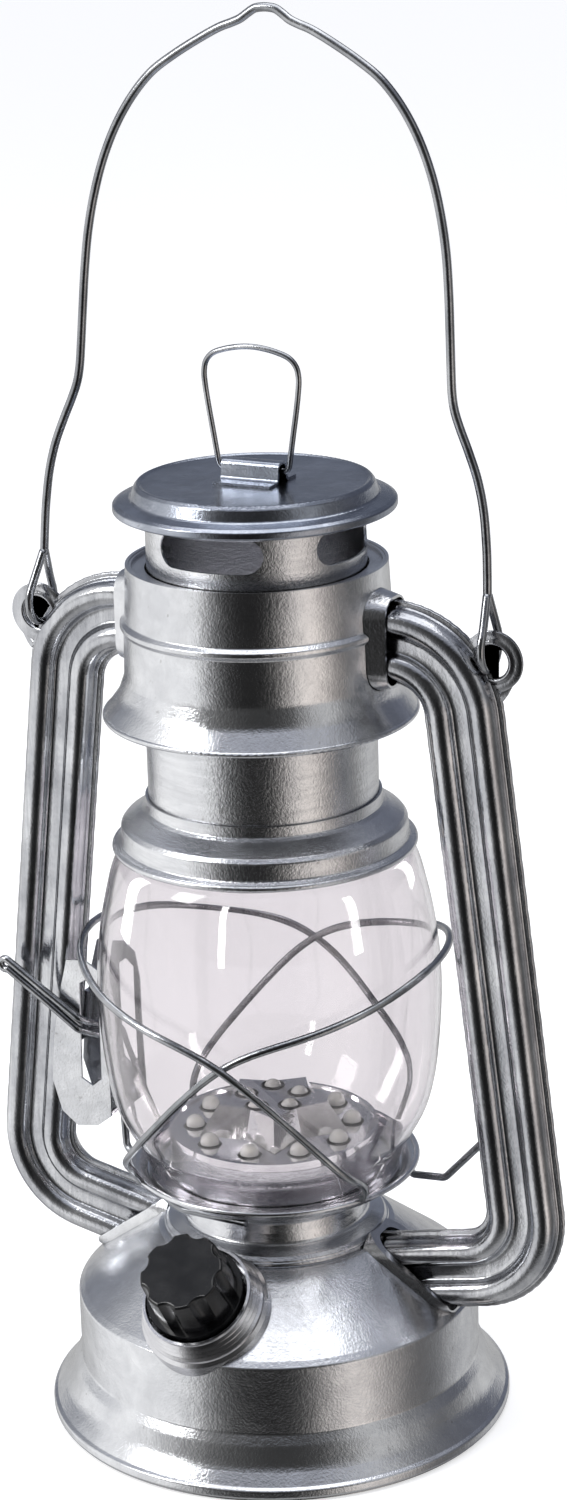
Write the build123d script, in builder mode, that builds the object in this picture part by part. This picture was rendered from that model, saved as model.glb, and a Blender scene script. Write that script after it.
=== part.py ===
from build123d import *
import math
import os

os.makedirs("parts", exist_ok=True)

# ---------------------------------------------------------------------------
# Battery hurricane (barn) lantern. Millimetres, +Z up, origin at the centre of
# the foot on its standing plane. Front (dimmer knob) is -Y, the side tubes lie
# in the XZ plane, the lift lever comes out past the -X tube.
# ---------------------------------------------------------------------------

# ---- driving dimensions ----------------------------------------------------
sheet_t = 0.8            # pressed sheet of the base, band and hood
foot_r = 62.0            # foot flange radius
drum_r = 53.8            # battery drum radius
drum_z0, drum_z1 = 14.8, 33.8
neck_r = 29.7            # ring at the foot of the neck
neck_z = 51.5
cup_r = 28.0             # lamp cup radius
disc_z = 78.4            # top face of the reflector disc
plate_in_r = 28.6        # bore of the globe plate round the lamp cup
plate_rim_r = 37.8
globe_t = 1.5
hood_ring_r = 39.6
chimney_r = 29.8
vent_r = 28.0
band_r = 34.2            # wide canopy band
cap_rim_r = 36.0
cap_z = 253.6            # flat top of the cap

tube_half_w = 10.9       # half width of a side tube over its seam flanges
tube_sheet = 0.55
tube_depth = 5.6         # seam plane to ridge crest
tube_top_z = 215.6
tube_top_r = 19.0        # bend radii on the centre line
tube_bot_r = 17.5
tube_corner = (74.1, 50.8)
tube_shoulder = (54.9, 215.6)
tube_foot = (28.0, 40.89)

ear_hole = (64.8, 213.2)
ear_hole_r = 4.2
bail_x = 63.8            # the bail's eyes stand at this distance each side
bail_z = 217.0           # height of the bail's turning axis
bail_eye_r = 6.05
bail_wire_r = 1.15
bail_lean = 5.0          # degrees the bail leans back at rest

knob_origin = (0.0, -41.7, 42.6)
knob_tilt = 36.43        # degrees the knob's axis leans forward from vertical
knob_face_w = 21.0       # knob face above the shoulder, along its axis

guard_wire_r = 1.0
guard_turn = 12.0        # degrees the globe guard is turned about Z
lever_wire_r = 1.0
lever_pivot = (61.0, 0.0, 84.0)

ring_z = 256.7           # lift ring axis
ring_wire_r = 0.75

cell_r, cell_l = 16.4, 59.5
cell_x, cell_y, cell_z = 17.0, 6.6, 19.7
hinge_y, hinge_z = 40.2, 2.2


# ---- helpers (plain geometry on numbers) -------------------------------------
def offset_path(pts, t, radii):
    """Offset an open polyline to its left by t; returns points and corner radii."""
    out, rad = [], []
    n = len(pts)
    dirs = []
    for i in range(n - 1):
        dx, dz = pts[i + 1][0] - pts[i][0], pts[i + 1][1] - pts[i][1]
        ln = math.hypot(dx, dz)
        dirs.append((dx / ln, dz / ln))
    for i in range(n):
        if i == 0:
            d = dirs[0]
            out.append((pts[0][0] - d[1] * t, pts[0][1] + d[0] * t))
        elif i == n - 1:
            d = dirs[-1]
            out.append((pts[-1][0] - d[1] * t, pts[-1][1] + d[0] * t))
        else:
            a, b = dirs[i - 1], dirs[i]
            nx, nz = -(a[1] + b[1]), a[0] + b[0]
            ln = math.hypot(nx, nz)
            nx, nz = nx / ln, nz / ln
            c = nx * -b[1] + nz * b[0]
            out.append((pts[i][0] + nx * t / c, pts[i][1] + nz * t / c))
            turn = a[0] * b[1] - a[1] * b[0]
            r = radii[i - 1]
            rad.append(max(r - t, 0.12) if (turn > 0) == (t > 0) else r + abs(t))
    return out, rad


def norm3(v):
    ln = math.sqrt(sum(c * c for c in v))
    return tuple(c / ln for c in v)


def polar(r, deg, z=None):
    a = math.radians(deg)
    return (r * math.cos(a), r * math.sin(a)) if z is None else (r * math.cos(a), r * math.sin(a), z)


# Outer faces of the turned walls, as (radius, height) with corner radii ---------
base_wall = [(60.7, 0.0), (62.0, 0.9), (62.0, 3.0), (60.9, 3.7), (57.6, 7.6),
             (55.6, 12.2), (53.8, 15.0), (53.8, 33.6), (52.2, 35.0), (31.6, 50.4), (29.7, 50.9)]
base_radii = [0.9, 0.85, 0.9, 9.0, 6.0, 1.3, 1.0, 3.0, 0.8]
cup_wall = [(30.1, 51.7), (28.9, 53.3), (24.6, 54.2), (24.0, 57.5), (24.0, 60.5), (28.0, 64.4), (28.0, 77.2)]
cup_radii = [0.6, 1.6, 2.0, 1.6, 1.6]
band_wall = [(40.4, 194.2), (36.4, 199.6), (34.7, 204.4), (34.4, 216.2), (35.3, 217.3), (35.3, 218.3),
             (34.1, 219.4), (33.4, 233.3)]
band_radii = [7.0, 5.0, 0.6, 0.5, 0.5, 0.6]


# =============================================================================
# BASE
# =============================================================================
knob_plane = Plane(origin=knob_origin, x_dir=(1, 0, 0),
                   z_dir=(0, -math.sin(math.radians(knob_tilt)), math.cos(math.radians(knob_tilt))))

base_in, base_in_r = offset_path(base_wall, sheet_t, base_radii)
with BuildPart() as base_shell:
    with BuildSketch(Plane.XZ):
        with BuildLine():
            FilletPolyline(*base_wall, radius=base_radii)
            Line(base_wall[-1], base_in[-1])
            FilletPolyline(*reversed(base_in), radius=list(reversed(base_in_r)))
            Line(base_in[0], base_wall[0])
        make_face()
    revolve(axis=Axis.Z)
    # flat standing edge under the rolled rim
    with BuildSketch(Plane.XY):
        Circle(61.1)
        Circle(59.9, mode=Mode.SUBTRACT)
    extrude(amount=1.2)
    # hole for the dimmer's bushing
    with BuildSketch(knob_plane.offset(-6)):
        Circle(4.7)
    extrude(amount=10, mode=Mode.SUBTRACT)
    # openings where the side tubes come through the shoulder
    for side in (1, -1):
        with BuildSketch(Plane(origin=(side * 36, 0, 42.6), x_dir=(0, 1, 0), z_dir=(side, 0, 0.215))):
            SlotOverall(19.0, 8.0, rotation=90)
        extrude(amount=12, both=True, mode=Mode.SUBTRACT)
base_shell.part.label = "base_shell"

# solid envelope of the base, used to trim what sits on it
base_env_pts = [(0, -1)] + [(62.3, -1), (62.3, 3.0)] + base_wall[3:] + [(0, 50.9)]

with BuildPart() as bottom_plate:
    with BuildSketch(Plane.XY.offset(1.2)):
        Circle(60.0)
        with Locations((0, 7.4)):
            Rectangle(67.8, 69.6, mode=Mode.SUBTRACT)
    extrude(amount=1.2)
    # hinge knuckles at the back edge of the hatch
    for x in (-26.0, 20.4):
        with BuildSketch(Plane.YZ.offset(x)):
            with Locations((hinge_y, hinge_z)):
                Circle(1.6)
            with Locations((hinge_y + 1.9, hinge_z - 0.4)):
                Rectangle(3.2, 1.2)
        extrude(amount=5.6)
        with BuildSketch(Plane.YZ.offset(x)):
            with Locations((hinge_y, hinge_z)):
                Circle(0.8)
        extrude(amount=5.6, mode=Mode.SUBTRACT)
    # bridge and boss for the hatch screw
    with BuildSketch(Plane.XY.offset(2.4)):
        with Locations((0, -33.0)):
            RectangleRounded(19.0, 8.4, 2.0)
    extrude(amount=1.0)
    with BuildSketch(Plane.XY.offset(3.4)):
        with Locations((0, -33.0)):
            Circle(4.0)
    extrude(amount=3.0)
    with BuildSketch(Plane.XY.offset(1.0)):
        with Locations((0, -32.5)):
            Circle(2.0)
    extrude(amount=6.0, mode=Mode.SUBTRACT)
    # relief under the boss for the hatch tongue
    with BuildSketch(Plane.XY.offset(1.2)):
        with Locations((0, -31.0)):
            Rectangle(12.6, 13.0)
    extrude(amount=1.2, mode=Mode.SUBTRACT)
bottom_plate.part.label = "bottom_plate"

with BuildPart() as battery_door:
    with BuildSketch(Plane.XY.offset(1.2)):
        with Locations((0, 5.8)):
            RectangleRounded(67.0, 65.6, 1.0)
        with Locations((0, -31.0)):
            RectangleRounded(11.8, 12.0, 1.0)
    extrude(amount=1.0)
    # stiffening ribs inside the hatch
    with BuildSketch(Plane.XY.offset(2.2)):
        with Locations((-26, 5.6), (26, 5.6)):
            Rectangle(1.2, 56)
        with Locations((0, 5.6)):
            Rectangle(1.0, 50)
    extrude(amount=0.9)
    # hinge barrel
    with BuildSketch(Plane.YZ.offset(-20.0)):
        with Locations((hinge_y, hinge_z)):
            Circle(1.6)
        with Locations((hinge_y - 1.2, hinge_z - 0.5)):
            Rectangle(2.4, 1.0)
    extrude(amount=40.0)
    with BuildSketch(Plane.YZ.offset(-21.0)):
        with Locations((hinge_y, hinge_z)):
            Circle(0.85)
    extrude(amount=42.0, mode=Mode.SUBTRACT)
    with BuildSketch(Plane.XY.offset(1.0)):
        with Locations((0, -32.5)):
            Circle(1.75)
    extrude(amount=3.0, mode=Mode.SUBTRACT)
battery_door.part.label = "battery_door"

with BuildPart() as door_screw:
    with BuildSketch(Plane.XY.offset(0.4)):
        with Locations((0, -32.5)):
            Circle(3.0)
            Rectangle(4.2, 0.8, mode=Mode.SUBTRACT)
    extrude(amount=0.8)
    with BuildSketch(Plane.XY.offset(1.0)):
        with Locations((0, -32.5)):
            Circle(3.0)
    extrude(amount=0.2)
    with BuildSketch(Plane.XY.offset(1.2)):
        with Locations((0, -32.5)):
            Circle(1.45)
    extrude(amount=4.0)
door_screw.part.label = "door_screw"

with BuildPart() as door_hinge_pin:
    with BuildSketch(Plane.YZ.offset(-26.0)):
        with Locations((hinge_y, hinge_z)):
            Circle(0.8)
    extrude(amount=52.0)
door_hinge_pin.part.label = "door_hinge_pin"

# battery compartment: open-bottomed tray whose walls stand on the bottom plate
with BuildPart() as battery_box:
    with BuildSketch(Plane.XY.offset(2.4)):
        with Locations((0, 5.5)):
            Rectangle(69.6, 67.6)
            Rectangle(67.6, 65.6, mode=Mode.SUBTRACT)
    extrude(amount=14.0)
    # clearance over the hatch's hinge
    with BuildSketch(Plane.XY.offset(2.4)):
        with Locations((0, 39.6)):
            Rectangle(56.0, 4.0)
    extrude(amount=2.0, mode=Mode.SUBTRACT)
    # slots that hold the contact plates and the spring
    with BuildSketch(Plane.XY.offset(16.4)):
        with Locations((-17, 38.8), (17, -27.8)):
            Rectangle(16.0, 1.0)
    extrude(amount=6.0)
battery_box.part.label = "battery_box"

with BuildPart() as battery_cell_a:
    with BuildSketch(Plane.XZ.offset(-(cell_y - cell_l / 2))):
        with Locations((-cell_x, cell_z)):
            Circle(cell_r)
    extrude(amount=-cell_l)
    with BuildSketch(Plane.XZ.offset(-(cell_y + cell_l / 2))):
        with Locations((-cell_x, cell_z)):
            Circle(4.7)
    extrude(amount=-1.5)
    fillet(battery_cell_a.edges().filter_by(GeomType.CIRCLE).filter_by(lambda e: e.radius > 10), 0.8)
battery_cell_a.part.label = "battery_cell_a"

with BuildPart() as battery_cell_b:
    with BuildSketch(Plane.XZ.offset(-(cell_y - cell_l / 2))):
        with Locations((cell_x, cell_z)):
            Circle(cell_r)
    extrude(amount=-cell_l)
    with BuildSketch(Plane.XZ.offset(-(cell_y - cell_l / 2))):
        with Locations((cell_x, cell_z)):
            Circle(4.7)
    extrude(amount=1.5)
    fillet(battery_cell_b.edges().filter_by(GeomType.CIRCLE).filter_by(lambda e: e.radius > 10), 0.8)
battery_cell_b.part.label = "battery_cell_b"

# contact plates at both ends of the cells
y_front = cell_y - cell_l / 2
y_back = cell_y + cell_l / 2
with BuildPart() as contact_plates:
    with BuildSketch(Plane.XZ.offset(-(y_back + 1.5))):
        with Locations((-cell_x, cell_z - 5)):
            Rectangle(12, 20)
    extrude(amount=-0.4)
    with BuildSketch(Plane.XZ.offset(-(y_front - 1.5))):
        with Locations((cell_x, cell_z - 5)):
            Rectangle(12, 20)
    extrude(amount=0.4)
contact_plates.part.label = "contact_plates"

with BuildPart() as contact_springs:
    with BuildLine() as coil:
        Helix(pitch=1.25, height=3.0, radius=5.0, center=(-cell_x, y_front - 0.5, cell_z - 5.0), direction=(0, -1, 0))
    with BuildSketch(Plane(origin=coil.line @ 0, z_dir=coil.line % 0)):
        Circle(0.35)
    sweep(is_frenet=True)
contact_springs.part.label = "contact_spring"

# =============================================================================
# DIMMER
# =============================================================================
with BuildPart() as dimmer_pot:
    with BuildSketch(knob_plane.offset(-8.2)):
        Circle(8.0)
        with Locations((0, 7.5)):
            Rectangle(10, 4.0)
    extrude(amount=6.6)
    with BuildSketch(knob_plane.offset(-1.6)):
        Circle(4.4)
    extrude(amount=6.4)
    with BuildSketch(knob_plane.offset(-2.6)):
        Circle(3.06)
    extrude(amount=10, mode=Mode.SUBTRACT)
dimmer_pot.part.label = "dimmer_pot"

with BuildPart() as pot_nut:
    with BuildSketch(knob_plane.offset(0.3)):
        RegularPolygon(radius=6.4, side_count=6)
        Circle(4.4, mode=Mode.SUBTRACT)
    extrude(amount=2.0)
pot_nut.part.label = "pot_nut"

collar_profile = [(13.8, -7.0), (17.6, -7.0), (17.2, 0.8), (16.3, 1.6), (16.3, 2.6), (15.6, 3.1), (15.9, 3.9),
                  (15.2, 4.5), (15.5, 5.3), (14.8, 5.9), (15.1, 6.7), (14.5, 7.3), (14.5, 8.2), (13.8, 8.2)]
with BuildPart() as knob_collar:
    with BuildSketch(Plane(origin=knob_origin, x_dir=(1, 0, 0), z_dir=tuple(-c for c in knob_plane.y_dir))):
        Polygon(*collar_profile, align=None)
    revolve(axis=Axis(knob_origin, tuple(knob_plane.z_dir)))
    with BuildSketch(Plane.XZ):
        Polygon(*base_env_pts, align=None)
    revolve(axis=Axis.Z, mode=Mode.SUBTRACT)
    with BuildSketch(Plane.XY.offset(30)):
        Circle(30.5)
    extrude(amount=40, mode=Mode.SUBTRACT)
knob_collar.part.label = "knob_collar"

with BuildPart() as knob_shaft:
    with BuildSketch(knob_plane.offset(-2.3)):
        Circle(3.0)
    extrude(amount=18.0)
knob_shaft.part.label = "knob_shaft"

with BuildPart() as knob:
    with BuildSketch(knob_plane.offset(5.2)):
        Circle(13.2)
    extrude(amount=4.4, taper=4)
    with BuildSketch(knob_plane.offset(9.6)):
        Circle(11.6)
        with PolarLocations(13.3, 8):
            Circle(2.9, mode=Mode.SUBTRACT)
    extrude(amount=knob_face_w - 9.6, taper=3)
    fillet(knob.faces().sort_by(Axis(knob_origin, tuple(knob_plane.z_dir)))[-1].edges(), 0.7)
    # hollow underside and hub bore
    with BuildSketch(knob_plane.offset(5.2)):
        Circle(10.2)
        Circle(5.2, mode=Mode.SUBTRACT)
    extrude(amount=4.0, mode=Mode.SUBTRACT)
    with BuildSketch(knob_plane.offset(5.2)):
        Circle(7.6)
        Circle(5.2, mode=Mode.SUBTRACT)
    extrude(amount=13.0, mode=Mode.SUBTRACT)
    with BuildSketch(knob_plane.offset(5.2)):
        Circle(3.0)
    extrude(amount=10.5, mode=Mode.SUBTRACT)
knob.part.label = "knob"

# =============================================================================
# NECK, LAMP CUP AND LEDS
# =============================================================================
cup_in, cup_in_r = offset_path(cup_wall, sheet_t, cup_radii)
with BuildPart() as lamp_cup:
    with BuildSketch(Plane.XZ):
        with BuildLine():
            FilletPolyline(*cup_wall, radius=cup_radii)
            Line(cup_wall[-1], cup_in[-1])
            FilletPolyline(*reversed(cup_in), radius=list(reversed(cup_in_r)))
            Line(cup_in[0], cup_wall[0])
        make_face()
    revolve(axis=Axis.Z)
    # inner flange that sits on the shoulder's edge and a ledge for the board
    with BuildSketch(Plane.XY.offset(50.9)):
        Circle(29.9)
        Circle(24.6, mode=Mode.SUBTRACT)
    extrude(amount=1.4)
    with BuildSketch(Plane.XY.offset(74.6)):
        Circle(27.4)
        Circle(25.6, mode=Mode.SUBTRACT)
    extrude(amount=1.0)
lamp_cup.part.label = "lamp_cup"

with BuildPart() as led_board:
    with BuildSketch(Plane.XY.offset(75.6)):
        Circle(26.9)
        with Locations((0, 23.5)):
            Circle(1.6, mode=Mode.SUBTRACT)
    extrude(amount=1.4)
led_board.part.label = "led_board"

led_angles = [-153 + 36 * k for k in range(10)]
inner_angles = [-27 + 72 * k for k in range(5)]
led_ring_r = 20.9
with BuildPart() as reflector_disc:
    with BuildSketch(Plane.XY.offset(77.2)):
        Circle(27.9)
        with Locations(*[polar(led_ring_r, a) for a in led_angles]):
            Circle(2.75, mode=Mode.SUBTRACT)
    extrude(amount=disc_z - 77.2)
    with BuildSketch(Plane.XY.offset(disc_z)):
        Circle(27.9)
        Circle(26.9, mode=Mode.SUBTRACT)
    extrude(amount=0.6)
reflector_disc.part.label = "reflector_disc"

with BuildPart() as reflector_hub:
    with BuildSketch(Plane.XY.offset(disc_z)):
        Polygon(*[polar(20.6 if k % 2 == 0 else 12.6, -63 + 36 * k) for k in range(10)], align=None)
    with BuildSketch(Plane.XY.offset(disc_z + 8.0)):
        Polygon(*[polar(15.2 if k % 2 == 0 else 10.2, -63 + 36 * k) for k in range(10)], align=None)
    loft(ruled=True)
    with BuildSketch(Plane.XY.offset(disc_z + 8.0)):
        with Locations(*[polar(7.4, a) for a in inner_angles]):
            Circle(2.75)
    extrude(amount=-3.0, mode=Mode.SUBTRACT)
reflector_hub.part.label = "reflector_hub"

led_prof = [(0, 0), (2.5, 0), (2.5, 2.4), (2.32, 3.3), (1.77, 4.15), (0.96, 4.7), (0, 4.9)]
with BuildPart() as leds:
    with BuildSketch(Plane.XZ):
        with BuildLine():
            Polyline((0, 77.0), (2.5, 77.0), (2.5, 79.2))
            TangentArc((2.5, 79.2), (0, 81.7), tangent=(0, 1))
            Line((0, 81.7), (0, 77.0))
        make_face()
    revolve(axis=Axis.Z)
one_led = leds.part
led_set = [Pos(*polar(led_ring_r, a, 0)) * one_led for a in led_angles]
led_set += [Pos(*polar(7.4, a, 6.4)) * one_led for a in inner_angles]
leds_all = Compound(children=led_set)
leds_all.label = "leds"

# three insulated leads: switch to board, cells to board, cells to switch
lead_routes = [
    [(-3.0, -30.6, 45.0), (-3.4, -21.0, 51.0), (-4.0, -12.0, 61.0), (-4.0, -12.0, 75.5)],
    [(17.0, -25.9, 22.0), (17.0, -25.9, 36.0), (12.5, -18.0, 52.0), (8.0, -11.0, 63.0), (8.0, -11.0, 75.5)],
    [(3.0, -30.6, 45.0), (0.0, -21.0, 46.0), (-9.0, -17.0, 42.0), (-17.0, -21.0, 40.5), (-17.0, -26.2, 34.0), (-17.0, -26.2, 21.6)],
]
lead_radii = [[8.0, 8.0], [12.0, 10.0, 8.0], [5.0, 5.0, 4.0, 4.0]]
lead_parts = []
for route, rr in zip(lead_routes, lead_radii):
    with BuildPart() as lead:
        with BuildLine() as lp:
            FilletPolyline(*route, radius=rr)
        with BuildSketch(Plane(origin=lp.line @ 0, z_dir=lp.line % 0)):
            Circle(0.6)
        sweep(path=lp.wires()[0])
    lead_parts.append(lead.part)
lead_wires = Compound(children=lead_parts)

# =============================================================================
# SIDE TUBES (pressed halves, seamed in the XZ plane)
# =============================================================================
tube_sec = [(-tube_half_w, -tube_sheet), (-9.0, -tube_sheet), (-8.3, -4.3), (-6.9, -tube_depth), (-5.0, -tube_depth),
            (-3.7, -3.6), (3.7, -3.6), (5.0, -tube_depth), (6.9, -tube_depth), (8.3, -4.3), (9.0, -tube_sheet),
            (tube_half_w, -tube_sheet)]
tube_sec_r = [0.5, 1.1, 0.9, 0.8, 0.7, 0.7, 0.8, 0.9, 1.1, 0.5]
tube_in, tube_in_r = offset_path(tube_sec, tube_sheet, tube_sec_r)

band_env = [(0, 193.0), (40.6, 193.0), (40.6, 194.4), (37.2, 199.0), (35.6, 202.4), (34.9, 205.6), (34.42, 216.2),
            (35.35, 217.2), (35.35, 218.4), (34.15, 219.5), (33.4, 233.3), (0, 233.3)]
ear_outline = [(56.4, 218.6), (60.2, 220.7), (64.8, 220.9), (72.2, 210.4), (67.2, 202.6), (65.2, 207.5), (62.0, 213.5)]
ear_r = 7.9
lever_dir = norm3((0.62, -0.28, 0.73))

tubes = {}
for side, sname in ((1, "right"), (-1, "left")):
    for half, hname in ((-1, "front"), (1, "back")):
        with BuildPart() as tube_half:
            with BuildLine(Plane.XZ) as run:
                FilletPolyline((side * 32.0, tube_top_z), (side * tube_shoulder[0], tube_shoulder[1]),
                               (side * tube_corner[0], tube_corner[1]), (side * tube_foot[0], tube_foot[1]),
                               radius=[tube_top_r, tube_bot_r])
            # local x of the section runs outward (up at the top), local y along +Y
            with BuildSketch(Plane(origin=(side * 32.0, 0, tube_top_z), x_dir=(0, 0, 1), z_dir=(side, 0, 0))) as sec:
                with BuildLine():
                    oy = [(p[0], p[1] * half * side) for p in tube_sec]
                    iy = [(p[0], p[1] * half * side) for p in tube_in]
                    FilletPolyline(*oy, radius=tube_sec_r)
                    Line(oy[-1], iy[-1])
                    FilletPolyline(*reversed(iy), radius=list(reversed(tube_in_r)))
                    Line(iy[0], oy[0])
                make_face()
            sweep(path=run.wires()[0])
            # the ear stamped from the seam flange, with its hole
            with BuildSketch(Plane.XZ):
                Polygon(*[(side * p[0], p[1]) for p in ear_outline], align=None)
                with Locations((side * ear_hole[0], ear_hole[1])):
                    Circle(ear_r)
            extrude(amount=-half * tube_sheet)
            with BuildSketch(Plane.XZ):
                with Locations((side * ear_hole[0], ear_hole[1])):
                    Circle(ear_hole_r)
            extrude(amount=20, both=True, mode=Mode.SUBTRACT)
            # trim to the band and to the shoulder
            with BuildSketch(Plane.XZ):
                Polygon(*band_env, align=None)
            revolve(axis=Axis.Z, mode=Mode.SUBTRACT)
            with BuildSketch(Plane.XZ):
                Polygon(*base_env_pts, align=None)
            revolve(axis=Axis.Z, mode=Mode.SUBTRACT)
            with BuildSketch(Plane.XY.offset(30)):
                Circle(30.4)
            extrude(amount=40, mode=Mode.SUBTRACT)
            if side == 1:
                # hole for the lever's end
                with BuildSketch(Plane(origin=(60.6, 0.5, 83.6), z_dir=lever_dir)):
                    Circle(1.9)
                extrude(amount=7, both=True, mode=Mode.SUBTRACT)
        tube_half.part.label = f"tube_{sname}_{hname}"
        tubes[f"tube_{sname}_{hname}"] = tube_half.part

# oval collars where the tubes meet the band
upper_rings = []
for side in (1, -1):
    with BuildPart() as ferrule:
        with BuildSketch(Plane(origin=(side * 33.0, 0, tube_top_z), x_dir=(0, 0, 1), z_dir=(side, 0, 0))):
            RectangleRounded(26.6, 15.8, 7.2)
        with BuildSketch(Plane(origin=(side * 38.4, 0, tube_top_z), x_dir=(0, 0, 1), z_dir=(side, 0, 0))):
            RectangleRounded(23.6, 12.8, 5.4)
        loft()
        with BuildSketch(Plane(origin=(side * 30.0, 0, tube_top_z), x_dir=(0, 0, 1), z_dir=(side, 0, 0))):
            RectangleRounded(22.0, 11.3, 4.0)
        extrude(amount=12, mode=Mode.SUBTRACT)
        with BuildSketch(Plane.XZ):
            Polygon(*band_env, align=None)
        revolve(axis=Axis.Z, mode=Mode.SUBTRACT)
    upper_rings.append(ferrule.part)
upper_ferrules = Compound(children=upper_rings)
upper_ferrules.label = "upper_ferrules"

# oval collars where the tubes meet the shoulder
lower_rings = []
for side in (1, -1):
    run_dir = (side, 0, 0.215)
    with BuildPart() as ferrule:
        with BuildSketch(Plane(origin=(side * 30.0, 0, 41.32), x_dir=(-0.215 * side, 0, 1), z_dir=run_dir)):
            RectangleRounded(28.4, 17.6, 8.2)
        with BuildSketch(Plane(origin=(side * 50.5, 0, 45.73), x_dir=(-0.215 * side, 0, 1), z_dir=run_dir)):
            RectangleRounded(23.4, 12.6, 5.3)
        loft()
        with BuildSketch(Plane(origin=(side * 24.0, 0, 40.03), x_dir=(-0.215 * side, 0, 1), z_dir=run_dir)):
            RectangleRounded(22.0, 11.3, 4.0)
        extrude(amount=40, mode=Mode.SUBTRACT)
        # keep a collar 3.2 mm high on the cone of the shoulder
        with BuildSketch(Plane(origin=(side * 43.6, 0, 44.2), x_dir=(0, 1, 0), z_dir=(side * 0.594, 0, 0.805))):
            Rectangle(60, 60)
        extrude(amount=30, mode=Mode.SUBTRACT)
        with BuildSketch(Plane.XZ):
            Polygon(*base_env_pts, align=None)
        revolve(axis=Axis.Z, mode=Mode.SUBTRACT)
        with BuildSketch(Plane.XY.offset(30)):
            Circle(30.4)
        extrude(amount=40, mode=Mode.SUBTRACT)
    lower_rings.append(ferrule.part)
lower_ferrules = Compound(children=lower_rings)
lower_ferrules.label = "lower_ferrules"

# =============================================================================
# CANOPY BAND
# =============================================================================
band_in, band_in_r = offset_path(band_wall, sheet_t, band_radii)
with BuildPart() as canopy_band:
    with BuildSketch(Plane.XZ):
        with BuildLine():
            FilletPolyline(*band_wall, radius=band_radii)
            Line(band_wall[-1], band_in[-1])
            FilletPolyline(*reversed(band_in), radius=list(reversed(band_in_r)))
            Line(band_in[0], band_wall[0])
        make_face()
    revolve(axis=Axis.Z)
    # rolled lip of the skirt
    with BuildSketch(Plane.XZ):
        with Locations((39.9, 194.0)):
            Circle(0.75)
    revolve(axis=Axis.Z)
    # mouths of the side tubes
    for side in (1, -1):
        with BuildSketch(Plane(origin=(side * 28.0, 0, tube_top_z), x_dir=(0, 0, 1), z_dir=(side, 0, 0))):
            RectangleRounded(16.0, 6.4, 2.5)
        extrude(amount=10, mode=Mode.SUBTRACT)
canopy_band.part.label = "canopy_band"

with BuildPart() as canopy_plate:
    with BuildSketch(Plane.XY.offset(231.4)):
        Circle(32.6)
        Circle(28.5, mode=Mode.SUBTRACT)
    extrude(amount=0.8)
    with BuildSketch(Plane.XY.offset(231.4)):
        Circle(32.6)
        Circle(31.9, mode=Mode.SUBTRACT)
    extrude(amount=1.6)
canopy_plate.part.label = "canopy_plate"

# =============================================================================
# LEVER BRACKET on the left tube
# =============================================================================
flange_out = [(-61.6, 96.0), (-58.6, 112.0), (-56.6, 119.6), (-51.0, 120.2), (-46.6, 117.6), (-45.0, 110.0), (-45.2, 92.0),
              (-44.8, 80.0), (-45.0, 76.0), (-49.0, 72.8), (-55.4, 71.8), (-60.0, 75.4), (-62.6, 84.0)]
with BuildPart() as lever_bracket:
    for y0 in (-8.6, 8.0):
        with BuildSketch(Plane.XZ.offset(-y0)):
            Polygon(*flange_out, align=None)
            with BuildLine():
                Polyline((-53.5, 86.0), (-53.0, 113.4), (-50.0, 115.4), (-47.1, 113.4), (-47.3, 86.6), (-50.2, 84.2), (-53.5, 86.0))
            make_face(mode=Mode.SUBTRACT)
        extrude(amount=-0.6)
    # folded web joining the two flanges below the wires
    with BuildSketch(Plane.XZ):
        with BuildLine():
            FilletPolyline((-59.7, 77.0), (-55.4, 72.4), (-49.0, 72.9), (-45.2, 75.9), radius=[2.0, 2.0])
            Line((-45.2, 75.9), (-45.7, 76.6))
            FilletPolyline((-45.7, 76.6), (-49.2, 73.8), (-55.1, 73.3), (-59.1, 77.6), radius=[2.0, 2.0])
            Line((-59.1, 77.6), (-59.7, 77.0))
        make_face()
    extrude(amount=8.3, both=True)
    # saddle lips standing on the tube's ridges
    for y0 in (-8.3, 5.8):
        with BuildSketch(Plane.XZ.offset(-y0)):
            Polygon((-61.6, 97.0), (-60.2, 105.0), (-57.8, 105.0), (-59.2, 94.0), (-61.8, 90.0), align=None)
        extrude(amount=-2.5)
lever_bracket.part.label = "lever_bracket"

# =============================================================================
# GLOBE CARRIAGE
# =============================================================================
plate_wall = [(plate_in_r, 67.6), (plate_in_r, 66.0), (34.6, 66.0), (36.4, 68.4), (38.2, 69.0)]
plate_radii = [0.5, 1.6, 1.0]
pl_in, pl_in_r = offset_path(plate_wall, 0.7, plate_radii)
with BuildPart() as globe_plate:
    with BuildSketch(Plane.XZ):
        with BuildLine():
            FilletPolyline(*plate_wall, radius=plate_radii)
            Line(plate_wall[-1], pl_in[-1])
            FilletPolyline(*reversed(pl_in), radius=list(reversed(pl_in_r)))
            Line(pl_in[0], plate_wall[0])
        make_face()
    revolve(axis=Axis.Z)
    with BuildSketch(Plane.XZ):
        with Locations((37.9, 69.5)):
            Circle(0.8)
    revolve(axis=Axis.Z)
globe_plate.part.label = "globe_plate"

globe_pts = [(33.4, 67.0), (33.6, 70.0), (35.2, 74.6), (37.2, 78.0), (41.1, 85.5), (43.2, 93.5), (44.4, 103.0),
             (45.1, 113.0), (45.2, 121.0), (44.6, 130.0), (43.4, 138.5), (41.8, 146.0), (40.1, 152.6), (38.2, 156.1),
             (36.3, 157.6), (35.3, 159.3), (35.2, 162.0)]
gl_off, _ = offset_path(globe_pts, globe_t, [1.0] * (len(globe_pts) - 2))
with BuildPart() as globe:
    with BuildSketch(Plane.XZ):
        with BuildLine():
            Spline(*globe_pts)
            Line(globe_pts[-1], gl_off[-1])
            Spline(*reversed(gl_off))
            Line(gl_off[0], globe_pts[0])
        make_face()
    revolve(axis=Axis.Z)
globe.part.label = "globe"


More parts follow.
